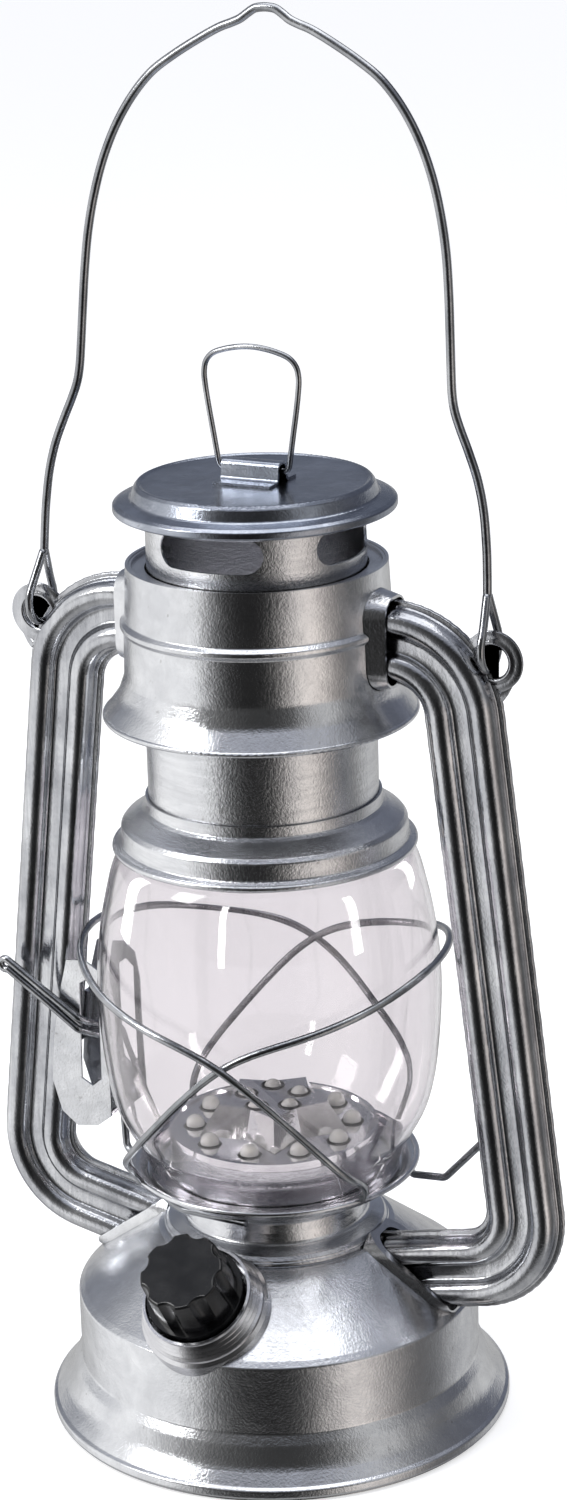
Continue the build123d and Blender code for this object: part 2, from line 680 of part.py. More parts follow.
def guard_points(mirror, r0):
    """Route of one guard wire, rim to rim, over its high side."""
    half = [(40.0, 38.9, 70.2), (41.5, 41.5, 74.0), (52.0, r0, 82.0), (66.0, r0, 94.5), (80.0, r0, 106.5),
            (93.0, r0, 115.0), (113.0, r0, 121.0), (135.0, r0, 125.5), (157.0, r0, 129.5)]
    seq = [(-a, r, z) for a, r, z in half] + [(180.0, r0, 131.0)] + [(a, r, z) for a, r, z in reversed(half)]
    pts = []
    for a, r, z in seq:
        ang = a if a <= 180 else a
        ang = (180 - ang) if mirror else ang
        pts.append(polar(r, ang + guard_turn, z))
    return pts


guards = {}
for gname, mirror, r0 in (("guard_wire_a", False, 49.2), ("guard_wire_b", True, 47.4)):
    gp = guard_points(mirror, r0)
    # the half-list runs from -40 through 180 to +40: reorder the first half so it climbs to the high side
    with BuildPart() as guard_wire:
        with BuildLine() as path:
            Spline(*gp)
        with BuildSketch(Plane(origin=path.line @ 0, z_dir=path.line % 0)):
            Circle(guard_wire_r)
        sweep()
    guard_wire.part.label = gname
    guards[gname] = guard_wire.part

# =============================================================================
# LIFT LEVER (hairpin wire)
# =============================================================================
lever_front = [(-73.8, -10.6, 115.2), (-62.0, -10.6, 107.4), (-52.9, -10.4, 100.9), (-46.6, -3.4, 96.6), (-45.8, -3.2, 88.0),
               (-43.0, -5.0, 78.0), (-41.0, -7.6, 67.6), (-33.6, -11.0, 64.8), (-25.5, -22.0, 64.8), (-12.0, -31.4, 64.8),
               (8.0, -32.6, 64.8)]
lever_back = [(-73.8, -10.6, 117.9), (-62.0, -10.6, 110.2), (-52.4, -10.4, 103.9), (-46.6, -1.6, 98.8), (-45.9, 3.2, 88.0),
              (-43.0, 5.0, 78.0), (-41.0, 7.6, 67.6), (-33.6, 11.0, 64.8), (-25.5, 22.0, 64.8), (-10.0, 31.6, 64.8),
              (12.0, 31.6, 64.8), (27.0, 22.0, 64.8), (35.0, 12.0, 64.8), (47.0, 6.0, 68.5), (61.6, 0.2, 84.6)]
with BuildPart() as lift_lever:
    with BuildLine() as pf:
        FilletPolyline(*lever_front, radius=[6, 2.5, 2.5, 3, 3, 3, 3, 6, 6])
    with BuildSketch(Plane(origin=pf.line @ 0, z_dir=pf.line % 0)):
        Circle(lever_wire_r)
    sweep(path=pf.wires()[0])
with BuildPart() as lever_leg_b:
    with BuildLine() as pb:
        FilletPolyline(*lever_back, radius=[6, 2.5, 2.5, 3, 3, 3, 3, 6, 8, 8, 6, 4, 5])
    with BuildSketch(Plane(origin=pb.line @ 0, z_dir=pb.line % 0)):
        Circle(lever_wire_r)
    sweep(path=pb.wires()[0])
print("lever legs", lift_lever.part.volume, pf.wires()[0].length * math.pi, lever_leg_b.part.volume, pb.wires()[0].length * math.pi)
# thumb loop: half turn joining the two legs
with BuildPart() as thumb_loop:
    d0 = norm3(tuple(a - b for a, b in zip(lever_front[0], lever_front[1])))
    with BuildLine() as loop:
        mid = tuple((a + b) / 2 + d * 1.9 for a, b, d in zip(lever_front[0], lever_back[0], d0))
        ThreePointArc(lever_front[0], mid, lever_back[0])
    with BuildSketch(Plane(origin=loop.line @ 0, z_dir=loop.line % 0)):
        Circle(lever_wire_r)
    sweep()
with BuildPart() as lever_all:
    add(lift_lever.part)
    add(lever_leg_b.part)
    add(thumb_loop.part)
    for p in (lever_front[0], lever_back[0]):
        with Locations(p):
            Sphere(lever_wire_r)
lever_all.part.label = "lift_lever"

# =============================================================================
# HOOD
# =============================================================================
bell_wall = [(39.0, 157.6), (39.7, 158.4), (39.0, 159.3), (37.5, 160.0), (37.1, 164.4), (36.2, 165.5), (31.6, 168.4),
             (30.7, 169.2), (30.6, 172.0)]
bell_radii = [0.5, 0.5, 0.6, 0.8, 0.9, 1.0, 0.5]
bell_in, bell_in_r = offset_path(bell_wall, 0.7, bell_radii)
with BuildPart() as hood_bell:
    with BuildSketch(Plane.XZ):
        with BuildLine():
            FilletPolyline(*bell_wall[2:], radius=bell_radii[2:])
            Line(bell_wall[-1], bell_in[-1])
            FilletPolyline(*reversed(bell_in[2:]), radius=list(reversed(bell_in_r[2:])))
            Line(bell_in[2], bell_wall[2])
        make_face()
    revolve(axis=Axis.Z)
    with BuildSketch(Plane.XZ):
        with Locations((38.8, 158.6)):
            Circle(0.85)
    revolve(axis=Axis.Z)
hood_bell.part.label = "hood_bell"

with BuildPart() as chimney_tube:
    with BuildSketch(Plane.XY.offset(168.6)):
        Circle(chimney_r)
        Circle(chimney_r - 0.7, mode=Mode.SUBTRACT)
    extrude(amount=36.0)
chimney_tube.part.label = "chimney_tube"

with BuildPart() as spring_seat:
    with BuildSketch(Plane.XY.offset(204.6)):
        Circle(31.9)
        Circle(vent_r, mode=Mode.SUBTRACT)
    extrude(amount=0.8)
spring_seat.part.label = "spring_seat"

with BuildPart() as vent_band:
    with BuildSketch(Plane.XY.offset(199.0)):
        Circle(vent_r)
        Circle(vent_r - 0.7, mode=Mode.SUBTRACT)
    extrude(amount=248.2 - 199.0)
    # four oval smoke slots
    for a in (-90, 0, 90, 180):
        with BuildSketch(Plane(origin=polar(20.0, a, 241.0), x_dir=polar(1, a + 90, 0), z_dir=polar(1, a, 0))):
            SlotOverall(28.6, 9.0)
        extrude(amount=12, mode=Mode.SUBTRACT)
vent_band.part.label = "vent_band"

cap_wall = [(34.4, 246.6), (36.0, 247.3), (36.0, 249.0), (34.8, 249.6), (31.5, 250.3), (30.4, 253.3), (29.5, 254.3),
            (28.4, 253.8), (0.0, 253.6)]
cap_radii = [0.6, 0.7, 0.7, 1.0, 0.9, 0.5, 0.6]
cap_in, cap_in_r = offset_path(cap_wall, 0.7, cap_radii)
cap_in[-1] = (0.0, cap_in[-1][1])
with BuildPart() as cap:
    with BuildSketch(Plane.XZ):
        with BuildLine():
            FilletPolyline(*cap_wall, radius=cap_radii)
            Line(cap_wall[-1], cap_in[-1])
            FilletPolyline(*reversed(cap_in), radius=list(reversed(cap_in_r)))
            Line(cap_in[0], cap_wall[0])
        make_face()
    revolve(axis=Axis.Z)
    # locating collar over the vent band
    with BuildSketch(Plane.XY.offset(246.4)):
        Circle(vent_r + 0.75)
        Circle(vent_r, mode=Mode.SUBTRACT)
    extrude(amount=6.4)
cap.part.label = "cap"

# strap that holds the lift ring: feet on the cap, tunnel over the wire
with BuildPart() as cap_strap:
    with BuildSketch(Plane.YZ.offset(-8.0)):
        with BuildLine():
            FilletPolyline((-7.4, 254.4), (-2.9, 254.4), (-2.2, 259.1), (2.2, 259.1), (2.9, 254.4), (7.4, 254.4), radius=[0.8, 1.6, 1.6, 0.8])
            FilletPolyline((7.4, 253.7), (2.2, 253.7), (1.55, 258.4), (-1.55, 258.4), (-2.2, 253.7), (-7.4, 253.7), radius=[1.4, 0.9, 0.9, 1.4])
            Line((-7.4, 254.4), (-7.4, 253.7))
            Line((7.4, 253.7), (7.4, 254.4))
        make_face()
    extrude(amount=16.0)
cap_strap.part.label = "cap_strap"

with BuildPart() as hood_spring:
    with BuildLine():
        Helix(pitch=4.2, height=17.2, radius=30.4, center=(0, 0, 206.1))
    with BuildSketch(Plane(origin=(30.4, 0, 206.1), z_dir=(0, 1, 0.022))):
        Circle(0.6)
    sweep(is_frenet=True)
hood_spring.part.label = "hood_spring"

# lift ring: open D of wire, its foot runs in the strap
with BuildPart() as lift_ring:
    with BuildLine(Plane.XZ) as ringp:
        FilletPolyline((0, ring_z), (9.6, ring_z), (13.9, 283.4), (0, 288.8), (-13.9, 283.4),
                       (-9.6, ring_z), (-0.01, ring_z), radius=[1.6, 6.5, 14.0, 6.5, 1.6])
    with BuildSketch(Plane.YZ):
        with Locations((0, ring_z)):
            Circle(ring_wire_r)
    sweep(path=ringp.wires()[0])
lift_ring.part.label = "lift_ring"

# =============================================================================
# BAIL
# =============================================================================
bail_half = [(62.6, 10.6), (62.4, 24.0), (61.2, 35.5), (58.6, 44.4), (52.6, 58.2), (51.8, 66.0), (50.6, 88.0), (48.6, 104.0),
             (42.6, 123.4), (31.0, 136.6), (11.0, 148.6), (6.4, 149.6), (3.0, 153.0)]
bail_r_list = [12, 14, 14, 6, 6, 200, 100, 40, 55, 18, 3.0, 2.0]
pts_r = [(x, z + bail_z - 0.0) for x, z in bail_half]
full = pts_r + [(-x, z) for x, z in reversed(pts_r)]
full_r = bail_r_list + list(reversed(bail_r_list))
with BuildPart() as bail:
    with BuildLine(Plane.XZ) as bp:
        FilletPolyline(*full, radius=full_r)
    with BuildSketch(Plane(origin=bp.line @ 0, z_dir=bp.line % 0)):
        Circle(bail_wire_r)
    sweep(path=bp.wires()[0])
bail_parts = [bail.part]
for side in (1, -1):
    # eye: a teardrop of the same wire standing across the ear
    with BuildPart() as eye:
        a = math.radians(38)
        ty, tz = bail_eye_r * math.cos(a), bail_eye_r * math.sin(a)
        with BuildLine(Plane.YZ.offset(side * bail_x)) as ep:
            ThreePointArc((-ty, bail_z + tz), (0, bail_z - bail_eye_r), (ty, bail_z + tz))
            l1 = Line((ty, bail_z + tz), (0.55, bail_z + 11.6))
            l2 = Line((-ty, bail_z + tz), (-0.55, bail_z + 11.6))
    with BuildPart() as eye_arc:
        with BuildLine(Plane.YZ.offset(side * bail_x)) as e1:
            ThreePointArc((-ty, bail_z + tz), (0, bail_z - bail_eye_r), (ty, bail_z + tz))
        with BuildSketch(Plane(origin=e1.line @ 0, z_dir=e1.line % 0)):
            Circle(bail_wire_r)
        sweep()
        for sy in (1, -1):
            p0 = (side * bail_x, sy * ty, bail_z + tz)
            p1 = (side * 62.9, sy * 0.4, bail_z + 12.4)
            with Locations(p0):
                Sphere(bail_wire_r)
            with BuildLine() as e2:
                Line(p0, p1)
            with BuildSketch(Plane(origin=p0, z_dir=tuple(b - c for b, c in zip(p1, p0)))):
                Circle(bail_wire_r)
            sweep(path=e2.wires()[0])
            with Locations(p1):
                Sphere(bail_wire_r)
    bail_parts.append(eye_arc.part)
with BuildPart() as bail_all:
    for p in bail_parts:
        add(p)
# stands leaning a little to the back, where its friction holds it
bail_leaned = bail_all.part.rotate(Axis((0, 0, bail_z), (1, 0, 0)), -bail_lean)
bail_leaned.label = "bail"

# =============================================================================
# export
# =============================================================================
solids = {
    "base_shell": base_shell.part, "bottom_plate": bottom_plate.part, "battery_door": battery_door.part,
    "door_screw": door_screw.part, "door_hinge_pin": door_hinge_pin.part, "battery_box": battery_box.part,
    "battery_cell_a": battery_cell_a.part, "battery_cell_b": battery_cell_b.part,
    "contact_plates": contact_plates.part, "contact_spring": contact_springs.part,
    "dimmer_pot": dimmer_pot.part, "pot_nut": pot_nut.part, "knob_collar": knob_collar.part,
    "knob_shaft": knob_shaft.part, "knob": knob.part, "lamp_cup": lamp_cup.part, "led_board": led_board.part,
    "reflector_disc": reflector_disc.part, "reflector_hub": reflector_hub.part, "leds": leds_all,
    "upper_ferrules": upper_ferrules, "lower_ferrules": lower_ferrules, "canopy_band": canopy_band.part,
    "canopy_plate": canopy_plate.part, "lever_bracket": lever_bracket.part, "globe_plate": globe_plate.part,
    "globe": globe.part, "lift_lever": lever_all.part, "hood_bell": hood_bell.part, "chimney_tube": chimney_tube.part,
    "spring_seat": spring_seat.part, "vent_band": vent_band.part, "cap": cap.part, "cap_strap": cap_strap.part,
    "hood_spring": hood_spring.part, "lift_ring": lift_ring.part, "bail": bail_leaned, "lead_wires": lead_wires,
}
solids.update(tubes)
solids.update(guards)
for node_name, shape in solids.items():
    shape.label = node_name
    export_step(shape, f"parts/{node_name}.step")
    print(node_name, round(shape.volume, 1), len(shape.solids()))
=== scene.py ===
import bpy, bmesh, math
import numpy as np
from mathutils import Vector, Matrix


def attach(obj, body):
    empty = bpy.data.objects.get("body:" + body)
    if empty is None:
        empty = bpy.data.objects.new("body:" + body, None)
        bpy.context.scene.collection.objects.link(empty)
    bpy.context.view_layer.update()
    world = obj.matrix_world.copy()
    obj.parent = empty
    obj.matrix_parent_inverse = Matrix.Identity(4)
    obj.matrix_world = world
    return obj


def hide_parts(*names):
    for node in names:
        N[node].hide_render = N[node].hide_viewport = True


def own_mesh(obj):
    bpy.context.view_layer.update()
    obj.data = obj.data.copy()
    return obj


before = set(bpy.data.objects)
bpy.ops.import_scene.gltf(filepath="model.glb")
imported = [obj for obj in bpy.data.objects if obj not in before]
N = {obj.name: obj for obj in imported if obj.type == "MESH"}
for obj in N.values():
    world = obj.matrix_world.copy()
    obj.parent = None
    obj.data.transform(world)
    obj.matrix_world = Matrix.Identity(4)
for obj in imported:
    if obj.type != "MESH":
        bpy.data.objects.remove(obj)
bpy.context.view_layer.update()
sc = bpy.context.scene
MM = 0.001

# ------------------------------------------------------------------ camera
az, el, roll = math.radians(27.0), math.radians(17.66), math.radians(-1.64)
right = Vector((math.cos(az), math.sin(az), 0))
back = Vector((math.sin(az) * math.cos(el), -math.cos(az) * math.cos(el), math.sin(el)))
up = back.cross(right)
target = right * 0.00539 + Vector((0, 0, 0.18249))
cr = right * math.cos(roll) + up * math.sin(roll)
cu = up * math.cos(roll) - right * math.sin(roll)
cam_data = bpy.data.cameras.new("camera")
cam_data.sensor_width = 36.0
cam_data.lens = 36.0 * 3504.0 / 1500.0
cam = bpy.data.objects.new("camera", cam_data)
sc.collection.objects.link(cam)
m = Matrix((cr, cu, back)).transposed().to_4x4()
m.translation = target + back * 0.901
cam.matrix_world = m
cam_data.clip_start, cam_data.clip_end = 0.02, 60.0
sc.camera = cam
sc.view_settings.view_transform = "Standard"
sc.view_settings.look = "None"

# ------------------------------------------------------------------ node helpers


def new_mat(name):
    mat = bpy.data.materials.new(name)
    mat.use_nodes = True
    nt = mat.node_tree
    return mat, nt, nt.nodes["Principled BSDF"]


def coords(nt, scale=(1, 1, 1)):
    tc = nt.nodes.new("ShaderNodeTexCoord")
    mp = nt.nodes.new("ShaderNodeMapping")
    mp.inputs["Scale"].default_value = scale
    nt.links.new(tc.outputs["Object"], mp.inputs["Vector"])
    return mp.outputs["Vector"]


def noise(nt, vec, scale, detail=4.0, rough=0.55, distortion=0.0):
    n = nt.nodes.new("ShaderNodeTexNoise")
    n.inputs["Scale"].default_value = scale
    n.inputs["Detail"].default_value = detail
    n.inputs["Roughness"].default_value = rough
    n.inputs["Distortion"].default_value = distortion
    nt.links.new(vec, n.inputs["Vector"])
    return n.outputs["Fac"]


def ramp(nt, fac, stops, interp="LINEAR"):
    r = nt.nodes.new("ShaderNodeValToRGB")
    r.color_ramp.interpolation = interp
    els = r.color_ramp.elements
    while len(els) < len(stops):
        els.new(0.5)
    for e, (p, c) in zip(els, stops):
        e.position = p
        e.color = (c, c, c, 1) if isinstance(c, (int, float)) else (*c, 1)
    nt.links.new(fac, r.inputs["Fac"])
    return r.outputs["Color"]


def mix(nt, fac, a, b, blend="MIX"):
    n = nt.nodes.new("ShaderNodeMix")
    n.data_type = "RGBA"
    n.blend_type = blend
    for sock, v in ((n.inputs[0], fac), (n.inputs[6], a), (n.inputs[7], b)):
        if isinstance(v, bpy.types.NodeSocket):
            nt.links.new(v, sock)
        elif isinstance(v, (int, float)):
            sock.default_value = v if sock.type == "VALUE" else (v, v, v, 1)
        else:
            sock.default_value = (*v, 1)
    return n.outputs[2]


def bump(nt, bsdf, height, strength, dist, chain=None):
    b = nt.nodes.new("ShaderNodeBump")
    b.inputs["Strength"].default_value = strength
    b.inputs["Distance"].default_value = dist
    nt.links.new(height, b.inputs["Height"])
    if chain is not None:
        nt.links.new(chain, b.inputs["Normal"])
    nt.links.new(b.outputs["Normal"], bsdf.inputs["Normal"])
    return b.outputs["Normal"]


def painted_crevice_shade(nt, dist):
    # painted shade: ambient occlusion turned into a factor that darkens the base colour in corners and recesses
    ao = nt.nodes.new("ShaderNodeAmbientOcclusion")
    ao.samples = 6
    ao.only_local = False
    ao.inputs["Distance"].default_value = dist
    return ramp(nt, ao.outputs["AO"], [(0.0, 0.0), (0.35, 0.35), (0.75, 1.0)])


def sheet_metal(name, light, dark, r0, r1, grain=0.35, streak=(1, 1, 1), spots=True, ao=0.004, aniso=0.0):
    """Bright plated sheet: cloudy tone, fine orange-peel grain, wiping marks, dull specks, painted shade darkening the
    corners.
    """
    mat, nt, b = new_mat(name)
    v = coords(nt)
    vs = coords(nt, streak)
    cloud = noise(nt, v, 55, 5, 0.6)
    grainf = noise(nt, v, 1500, 3, 0.6)
    fine = noise(nt, v, 4200, 2, 0.5)
    wipe = noise(nt, vs, 130, 5, 0.65, 0.4)
    base = mix(nt, ramp(nt, cloud, [(0.35, 0.0), (0.68, 1.0)]), dark, light)
    base = mix(nt, ramp(nt, wipe, [(0.30, 0.55), (0.62, 0.0)]), base, tuple(0.82 * c for c in dark))
    if spots:
        sp = noise(nt, v, 420, 2, 0.5)
        base = mix(nt, ramp(nt, sp, [(0.70, 0.0), (0.76, 0.35)]), base, (0.30, 0.29, 0.28))
    # painted shade: base colour pulled towards dark grey (0.17, 0.17, 0.18) where ambient occlusion finds corners
    if ao:
        base = mix(nt, painted_crevice_shade(nt, ao), (0.17, 0.17, 0.18), base)
    nt.links.new(base, b.inputs["Base Color"])
    b.inputs["Metallic"].default_value = 1.0
    rr = mix(nt, ramp(nt, wipe, [(0.3, 0.0), (0.7, 1.0)]), r1, r0)
    rr = mix(nt, ramp(nt, grainf, [(0.35, 0.0), (0.7, 0.5)]), rr, min(1.0, r1 * 1.5))
    nt.links.new(rr, b.inputs["Roughness"])
    h1 = bump(nt, b, noise(nt, v, 90, 3, 0.5), 0.25, 0.0006)
    h2 = bump(nt, b, grainf, grain, 0.00020, h1)
    bump(nt, b, fine, grain * 0.7, 0.00004, h2)
    return mat


def plastic(name, base, lift, rough, bump_s=0.15, scale=2200):
    mat, nt, b = new_mat(name)
    v = coords(nt)
    n1 = noise(nt, v, 160, 4, 0.6)
    n2 = noise(nt, v, scale, 2, 0.5)
    nt.links.new(mix(nt, ramp(nt, n1, [(0.35, 0.0), (0.7, 1.0)]), base, lift), b.inputs["Base Color"])
    nt.links.new(ramp(nt, n1, [(0.3, rough * 0.8), (0.75, min(1, rough * 1.3))]), b.inputs["Roughness"])
    bump(nt, b, n2, bump_s, 0.00006)
    return mat


M_sheet = sheet_metal("plated_sheet", (0.90, 0.91, 0.93), (0.72, 0.73, 0.76), 0.07, 0.19)
M_tube = sheet_metal("plated_tube", (0.80, 0.81, 0.835), (0.42, 0.43, 0.46), 0.05, 0.15, 0.25, (3.0, 3.0, 0.22), True, 0.0035)
M_hood = sheet_metal("plated_hood", (0.90, 0.91, 0.93), (0.74, 0.75, 0.78), 0.10, 0.22, 0.55, (0.5, 0.5, 4.0))
M_cap = sheet_metal("plated_cap", (0.56, 0.59, 0.66), (0.32, 0.35, 0.41), 0.09, 0.20, 0.3, (1.0, 1.0, 3.0))
M_polish = sheet_metal("bright_collar", (0.84, 0.84, 0.86), (0.70, 0.70, 0.73), 0.07, 0.17, 0.12, (1, 1, 1), False, 0.003)
M_wire = sheet_metal("plated_wire", (0.60, 0.61, 0.63), (0.28, 0.29, 0.31), 0.08, 0.18, 0.2, (1, 1, 0.3), True, 0.0015)
M_black = plastic("black_moulded", (0.003, 0.003, 0.0035), (0.010, 0.010, 0.011), 0.17)
M_board = plastic("board_lacquer", (0.03, 0.12, 0.06), (0.05, 0.17, 0.09), 0.3)
M_cell = plastic("cell_sleeve_print", (0.10, 0.11, 0.14), (0.15, 0.16, 0.19), 0.3)
M_lead = plastic("lead_pvc", (0.35, 0.03, 0.03), (0.45, 0.05, 0.04), 0.4)
M_brass = sheet_metal("contact_plating", (0.80, 0.70, 0.45), (0.60, 0.50, 0.30), 0.2, 0.35, 0.2, (1, 1, 1), True, 0.0)


def mirror_metal(name):
    """Vacuum-metallised plastic: near mirror with faint ripples."""
    mat, nt, b = new_mat(name)
    v = coords(nt)
    n1 = noise(nt, v, 220, 4, 0.6)
    nt.links.new(mix(nt, ramp(nt, n1, [(0.3, 0.0), (0.7, 1.0)]), (0.86, 0.86, 0.88), (0.96, 0.96, 0.97)), b.inputs["Base Color"])
    b.inputs["Metallic"].default_value = 1.0
    nt.links.new(ramp(nt, n1, [(0.3, 0.05), (0.75, 0.16)]), b.inputs["Roughness"])
    bump(nt, b, noise(nt, v, 500, 2, 0.5), 0.18, 0.0002)
    return mat


M_refl = mirror_metal("metallised_reflector")


def glass(name, clear, painted_edge_dark, rough):
    mat, nt, b = new_mat(name)
    v = coords(nt)
    # painted shade: the base colour darkens towards the silhouette with viewing angle (Layer Weight Facing), standing
    # in for the dark edges of the glass
    lw = nt.nodes.new("ShaderNodeLayerWeight")
    lw.inputs["Blend"].default_value = 0.35
    n1 = noise(nt, v, 60, 3, 0.5)
    tint_and_painted_edge = mix(nt, ramp(nt, lw.outputs["Facing"], [(0.0, 0.0), (0.55, 0.08), (0.86, 0.5), (1.0, 1.0)]), clear, painted_edge_dark)
    tint_and_painted_edge = mix(nt, ramp(nt, n1, [(0.35, 0.0), (0.8, 0.12)]), tint_and_painted_edge, tuple(0.93 * c for c in clear))
    nt.links.new(tint_and_painted_edge, b.inputs["Base Color"])
    b.inputs["Transmission Weight"].default_value = 1.0
    b.inputs["IOR"].default_value = 1.48
    nt.links.new(ramp(nt, n1, [(0.3, rough * 0.4), (0.8, rough)]), b.inputs["Roughness"])
    bump(nt, b, noise(nt, v, 45, 2, 0.5), 0.12, 0.0005)
    return mat


# the second colour is the painted dark edge of the glass at grazing angles
M_glass = glass("globe_glass_clear", (0.80, 0.775, 0.785), (0.05, 0.05, 0.052), 0.012)
M_lens = plastic("led_lens_dome", (0.74, 0.74, 0.72), (0.90, 0.90, 0.87), 0.07, 0.05)
_b = M_lens.node_tree.nodes["Principled BSDF"]
_b.inputs["Coat Weight"].default_value = 1.0
_b.inputs["Coat Roughness"].default_value = 0.02
_b.inputs["Transmission Weight"].default_value = 0.35
# painted shade: near-black colour for the rings drawn round the LEDs
M_led_shade_ring = plastic("led_seat_shadow", (0.02, 0.02, 0.022), (0.05, 0.05, 0.05), 0.4)
M_refl.node_tree.nodes["Principled BSDF"].inputs["Metallic"].default_value = 0.90


def give(mat, *names):
    for n in names:
        o = N[n]
        o.data.materials.clear()
        o.data.materials.append(mat)


give(M_sheet, "base_shell", "bottom_plate", "lamp_cup", "canopy_band", "canopy_plate", "lever_bracket", "globe_plate",
     "upper_ferrules", "lower_ferrules")
give(M_tube, "tube_left_front", "tube_left_back", "tube_right_front", "tube_right_back")
give(M_hood, "hood_bell", "chimney_tube", "spring_seat", "vent_band")
give(M_cap, "cap", "cap_strap")
give(M_polish, "knob_collar")
give(M_wire, "door_screw", "door_hinge_pin", "contact_spring", "pot_nut", "knob_shaft", "lift_lever", "hood_spring",
     "lift_ring", "bail", "guard_wire_a", "guard_wire_b")
give(M_black, "battery_door", "battery_box", "dimmer_pot", "knob")
give(M_cell, "battery_cell_a", "battery_cell_b")
give(M_brass, "contact_plates")
give(M_board, "led_board")
give(M_refl, "reflector_disc", "reflector_hub")
give(M_lens, "leds")
give(M_lead, "lead_wires")
give(M_glass, "globe")
for o in N.values():
    for p in o.data.polygons:
        p.use_smooth = True

# ------------------------------------------------------------------ mesh helpers


def link(name, mesh, mat, body, replaces=()):
    ob = bpy.data.objects.new(name, mesh)
    sc.collection.objects.link(ob)
    ob.data.materials.clear()
    ob.data.materials.append(mat)
    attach(ob, body)
    if replaces:
        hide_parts(*replaces)
    return ob


def bspline(pts, per=8):
    """Smooth line through a list of points (Catmull-Rom)."""
    p = [Vector(q) for q in pts]
    p = [p[0] * 2 - p[1]] + p + [p[-1] * 2 - p[-2]]
    out = []
    for i in range(1, len(p) - 2):
        for k in range(per):
            t = k / per
            a, b, c, d = p[i - 1], p[i], p[i + 1], p[i + 2]
            out.append(0.5 * ((2 * b) + (c - a) * t + (2 * a - 5 * b + 4 * c - d) * t * t + (3 * b - a - 3 * c + d) * t ** 3))
    out.append(p[-2].copy())
    return out


def lathe(name, loop, seg=160):
    """Closed section (r, z) in mm turned about Z."""
    bm = bmesh.new()
    rings = []
    for r, z in loop:
        rings.append([bm.verts.new((r * MM * math.cos(2 * math.pi * k / seg), r * MM * math.sin(2 * math.pi * k / seg), z * MM)) for k in range(seg)])
    n = len(rings)
    for i in range(n):
        a, b = rings[i], rings[(i + 1) % n]
        for k in range(seg):
            bm.faces.new((a[k], a[(k + 1) % seg], b[(k + 1) % seg], b[k]))
    bmesh.ops.recalc_face_normals(bm, faces=bm.faces)
    for f in bm.faces:
        f.smooth = True
    me = bpy.data.meshes.new(name)
    bm.to_mesh(me)
    bm.free()
    return me


# ------------------------------------------------------------------ glass globe, blown shape with fire-polished rims
globe_pts = [(33.4, 67.6), (33.6, 70.0), (35.2, 74.6), (37.2, 78.0), (41.1, 85.5), (43.2, 93.5), (44.4, 103.0),
             (45.1, 113.0), (45.2, 121.0), (44.6, 130.0), (43.4, 138.5), (41.8, 146.0), (40.1, 152.6), (38.2, 156.1),
             (36.3, 157.6), (35.3, 159.3), (35.2, 161.4)]
outer = bspline([(r, z, 0) for r, z in globe_pts], 7)
inner = []
for i, q in enumerate(outer):
    t = (outer[min(i + 1, len(outer) - 1)] - outer[max(i - 1, 0)]).normalized()
    inner.append(q + Vector((-t.y, t.x, 0)) * 1.35)
loop = [(q.x, q.y) for q in outer]
rim = lambda a, b, s: [((a.x + b.x) / 2 + 0.68 * math.cos(w) * (1 if s > 0 else 1), (a.y + b.y) / 2 + s * 0.55 * math.sin(w)) for w in (math.pi * f for f in (0.2, 0.35, 0.5, 0.65, 0.8))]
loop += rim(outer[-1], inner[-1], 1)
loop += [(q.x, q.y) for q in reversed(inner)]
loop += list(reversed(rim(outer[0], inner[0], -1)))
globe_piece = link("glass_globe", lathe("glass_globe", loop, 192), M_glass, "globe_carriage", ("globe",))
globe_piece.visible_shadow = False     # light passes through clear glass

# ------------------------------------------------------------------ round wire


def tube_mesh(name, pts, radius, seg=14, closed=False, caps=True, wobble=0.0):
    """Round wire along a smooth line of points (metres); parallel-transport frames."""
    p = [Vector(q) for q in pts]
    n = len(p)
    tans = []
    for i in range(n):
        a = p[(i - 1) % n] if closed else p[max(i - 1, 0)]
        c = p[(i + 1) % n] if closed else p[min(i + 1, n - 1)]
        tans.append((c - a).normalized())
    ref = Vector((0, 0, 1)) if abs(tans[0].z) < 0.9 else Vector((1, 0, 0))
    nrm = (ref - tans[0] * ref.dot(tans[0])).normalized()
    bm = bmesh.new()
    rings = []
    for i in range(n):
        nrm = (nrm - tans[i] * nrm.dot(tans[i])).normalized()
        bi = tans[i].cross(nrm)
        rings.append([bm.verts.new(p[i] + (nrm * math.cos(2 * math.pi * k / seg) + bi * math.sin(2 * math.pi * k / seg)) * radius) for k in range(seg)])
    last = n if closed else n - 1
    for i in range(last):
        a, b = rings[i], rings[(i + 1) % n]
        for k in range(seg):
            bm.faces.new((a[k], a[(k + 1) % seg], b[(k + 1) % seg], b[k]))
    if not closed and caps:
        for ring, q, t, flip in ((rings[0], p[0], -tans[0], True), (rings[-1], p[-1], tans[-1], False)):
            inner = [bm.verts.new(q + (v.co - q) * 0.72 + t * radius * 0.35) for v in ring]
            tip = bm.verts.new(q + t * radius * 0.5)
            for k in range(seg):
                f = (ring[k], ring[(k + 1) % seg], inner[(k + 1) % seg], inner[k])
                g = (inner[k], inner[(k + 1) % seg], tip)
                bm.faces.new(tuple(reversed(f)) if flip else f)
                bm.faces.new(tuple(reversed(g)) if flip else g)
    bmesh.ops.recalc_face_normals(bm, faces=bm.faces)
    for f in bm.faces:
        f.smooth = True
    me = bpy.data.meshes.new(name)
    bm.to_mesh(me)
    bm.free()
    return me


def join_meshes(name, meshes):
    bm = bmesh.new()
    for me in meshes:
        bm.from_mesh(me)
    for f in bm.faces:
        f.smooth = True
    out = bpy.data.meshes.new(name)
    bm.to_mesh(out)
    bm.free()
    return out


